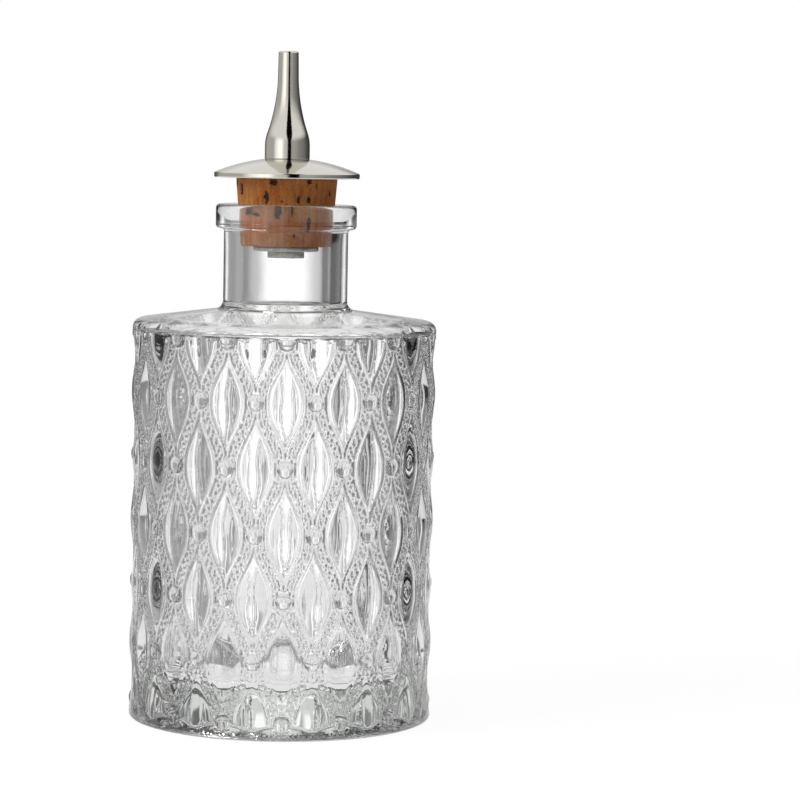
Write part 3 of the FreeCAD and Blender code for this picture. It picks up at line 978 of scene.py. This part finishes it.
def makeWorld():
    world = bpy.data.worlds.new("studioRoom")
    bpy.context.scene.world = world
    world.use_nodes = True
    tree = world.node_tree
    tree.nodes.clear()
    place = addNode(tree, "TexCoord")
    split = addNode(tree, "SeparateXYZ", {}, {0: place.outputs["Generated"]})
    across, away, up = split.outputs
    angle = addNode(tree, "Math", {"operation": "ARCTAN2"}, {0: across, 1: away})
    turn = addNode(tree, "MapRange", {"From Min": -math.pi, "From Max": math.pi}, {"Value": angle.outputs[0]})
    # through glass: a bright backdrop, grey to the left and dark to the right, dimmer overhead
    window = addNode(tree, "ValToRGB", {"stops": windowStops}, {0: turn.outputs[0]})
    height = addNode(tree, "MapRange", {
        "From Min": 0.15, "From Max": 0.5, "To Min": 1.0, "To Max": 0.5}, {"Value": up})
    wall = addNode(tree, "Math", {"operation": "MULTIPLY"}, {0: window.outputs[0], 1: height.outputs[0]})
    # the dark panels end at about the height of the neck, and lower down the backdrop is dimmer
    panelTop = addNode(tree, "MapRange", {
        "From Min": -0.06, "From Max": -0.03, "To Min": 0.0, "To Max": 0.14}, {"Value": up})
    panelled = addNode(tree, "Math", {"operation": "MAXIMUM"}, {0: wall.outputs[0], 1: panelTop.outputs[0]})
    low = addNode(tree, "MapRange", {
        "From Min": -0.06, "From Max": -0.16, "To Min": 1.0, "To Max": 0.78}, {"Value": up})
    dimmed = addNode(tree, "Math", {"operation": "MULTIPLY"}, {0: panelled.outputs[0], 1: low.outputs[0]})
    climb = addNode(tree, "MapRange", {"From Min": -1.0}, {"Value": up})
    sweep = addNode(tree, "ValToRGB", {"stops": [((z + 1) / 2, share) for z, share in sweepStops]},
                    {0: climb.outputs[0]})
    through = addNode(tree, "Mix", {"data_type": "FLOAT", 3: studio["sweepLevel"]},
                      {0: sweep.outputs[0], 2: dimmed.outputs[0]})
    # in mirrors: a pale room with a narrow dark gap beside the camera, wider higher up
    room = addNode(tree, "ValToRGB", {"stops": mirrorStops}, {0: turn.outputs[0]})
    ceiling = addNode(tree, "MapRange", {"From Min": 0.24, "From Max": 0.42}, {"Value": up})
    lofty = addNode(tree, "Mix", {"data_type": "FLOAT", 3: studio["ceilingLevel"]},
                    {0: ceiling.outputs[0], 2: room.outputs[0]})
    back = addNode(tree, "Math", {"operation": "MULTIPLY", 1: -1.0}, {0: away})
    fromCamera = addNode(tree, "Math", {"operation": "ARCTAN2"}, {0: across, 1: back.outputs[0]})
    offset = addNode(tree, "Math", {"operation": "SUBTRACT", 1: studio["gapTurn"]},
                     {0: fromCamera.outputs[0]})
    aside = addNode(tree, "Math", {"operation": "ABSOLUTE"}, {0: offset.outputs[0]})
    gapWidth = addNode(tree, "MapRange", {
        "From Min": 0.25, "From Max": 0.6, "To Min": 0.15, "To Max": 0.34}, {"Value": up})
    besideGap = addNode(tree, "Math", {"operation": "GREATER_THAN"},
                        {0: aside.outputs[0], 1: gapWidth.outputs[0]})
    mirrored = addNode(tree, "Math", {"operation": "MULTIPLY"},
                       {0: lofty.outputs[0], 1: besideGap.outputs[0]})
    seen = addNode(tree, "LightPath")
    glossy = addNode(tree, "Mix", {"data_type": "FLOAT", 2: studio["roomLight"]},
                     {0: seen.outputs["Is Glossy Ray"], 3: mirrored.outputs[0]})
    clear = addNode(tree, "Mix", {"data_type": "FLOAT"},
                    {0: seen.outputs["Is Transmission Ray"], 2: glossy.outputs[0], 3: through.outputs[0]})
    # light on cork and floor stays even, also where it comes through the glass, and falls off to the right
    bounced = addNode(tree, "Math", {"operation": "MINIMUM", 1: 1.0}, {0: seen.outputs["Diffuse Depth"]})
    level = addNode(tree, "MapRange", {"To Min": studio["roomLight"], "To Max": studio["glassRoomLight"]},
                    {"Value": seen.outputs["Transmission Depth"]})
    slant = addNode(tree, "MapRange", {
        "From Min": -1.0, "To Min": 1 + studio["lightSlant"], "To Max": 1 - studio["lightSlant"]},
        {"Value": across})
    slanted = addNode(tree, "Math", {"operation": "MULTIPLY"}, {0: level.outputs[0], 1: slant.outputs[0]})
    even = addNode(tree, "Mix", {"data_type": "FLOAT"},
                   {0: bounced.outputs[0], 2: clear.outputs[0], 3: slanted.outputs[0]})
    strength = addNode(tree, "Mix", {"data_type": "FLOAT", 3: 1.0},
                       {0: seen.outputs["Is Camera Ray"], 2: even.outputs[0]})
    light = addNode(tree, "Background", {"Color": colour("FFFFFF")}, {"Strength": strength.outputs[0]})
    addNode(tree, "OutputWorld", {}, {"Surface": light.outputs[0]})


def makeLamp():
    lamp = bpy.data.lights.new("softKey", "AREA")
    lamp.shape = "RECTANGLE"
    lamp.size, lamp.size_y = studio["lampSize"]
    lamp.energy = studio["lampPower"]
    holder = bpy.data.objects.new("softKey", lamp)
    bpy.context.collection.objects.link(holder)
    holder.location = studio["lampPlace"]
    holder.visible_glossy = False  # the room alone shows in the metal
    aim = Vector(studio["lampAim"]) - holder.location
    holder.rotation_euler = aim.to_track_quat("-Z", "Y").to_euler()


def makeCamera():
    camera = bpy.data.cameras.new("camera")
    camera.lens = studio["lens"]
    camera.sensor_width = studio["sensorWidth"]
    camera.clip_start = studio["clipStart"]
    holder = bpy.data.objects.new("camera", camera)
    bpy.context.collection.objects.link(holder)
    holder.location = (0, -studio["cameraDistance"], studio["cameraHeight"])
    turn = (Matrix.Rotation(math.radians(studio["yawDeg"]), 4, "Z")
            @ Matrix.Rotation(math.radians(90 + studio["pitchDeg"]), 4, "X")
            @ Matrix.Rotation(math.radians(studio["rollDeg"]), 4, "Z"))
    holder.rotation_euler = turn.to_euler()
    bpy.context.scene.camera = holder


makeFloor()
makeWorld()
makeLamp()
makeCamera()
bpy.context.scene.view_settings.view_transform = "Standard"
print("studio set")
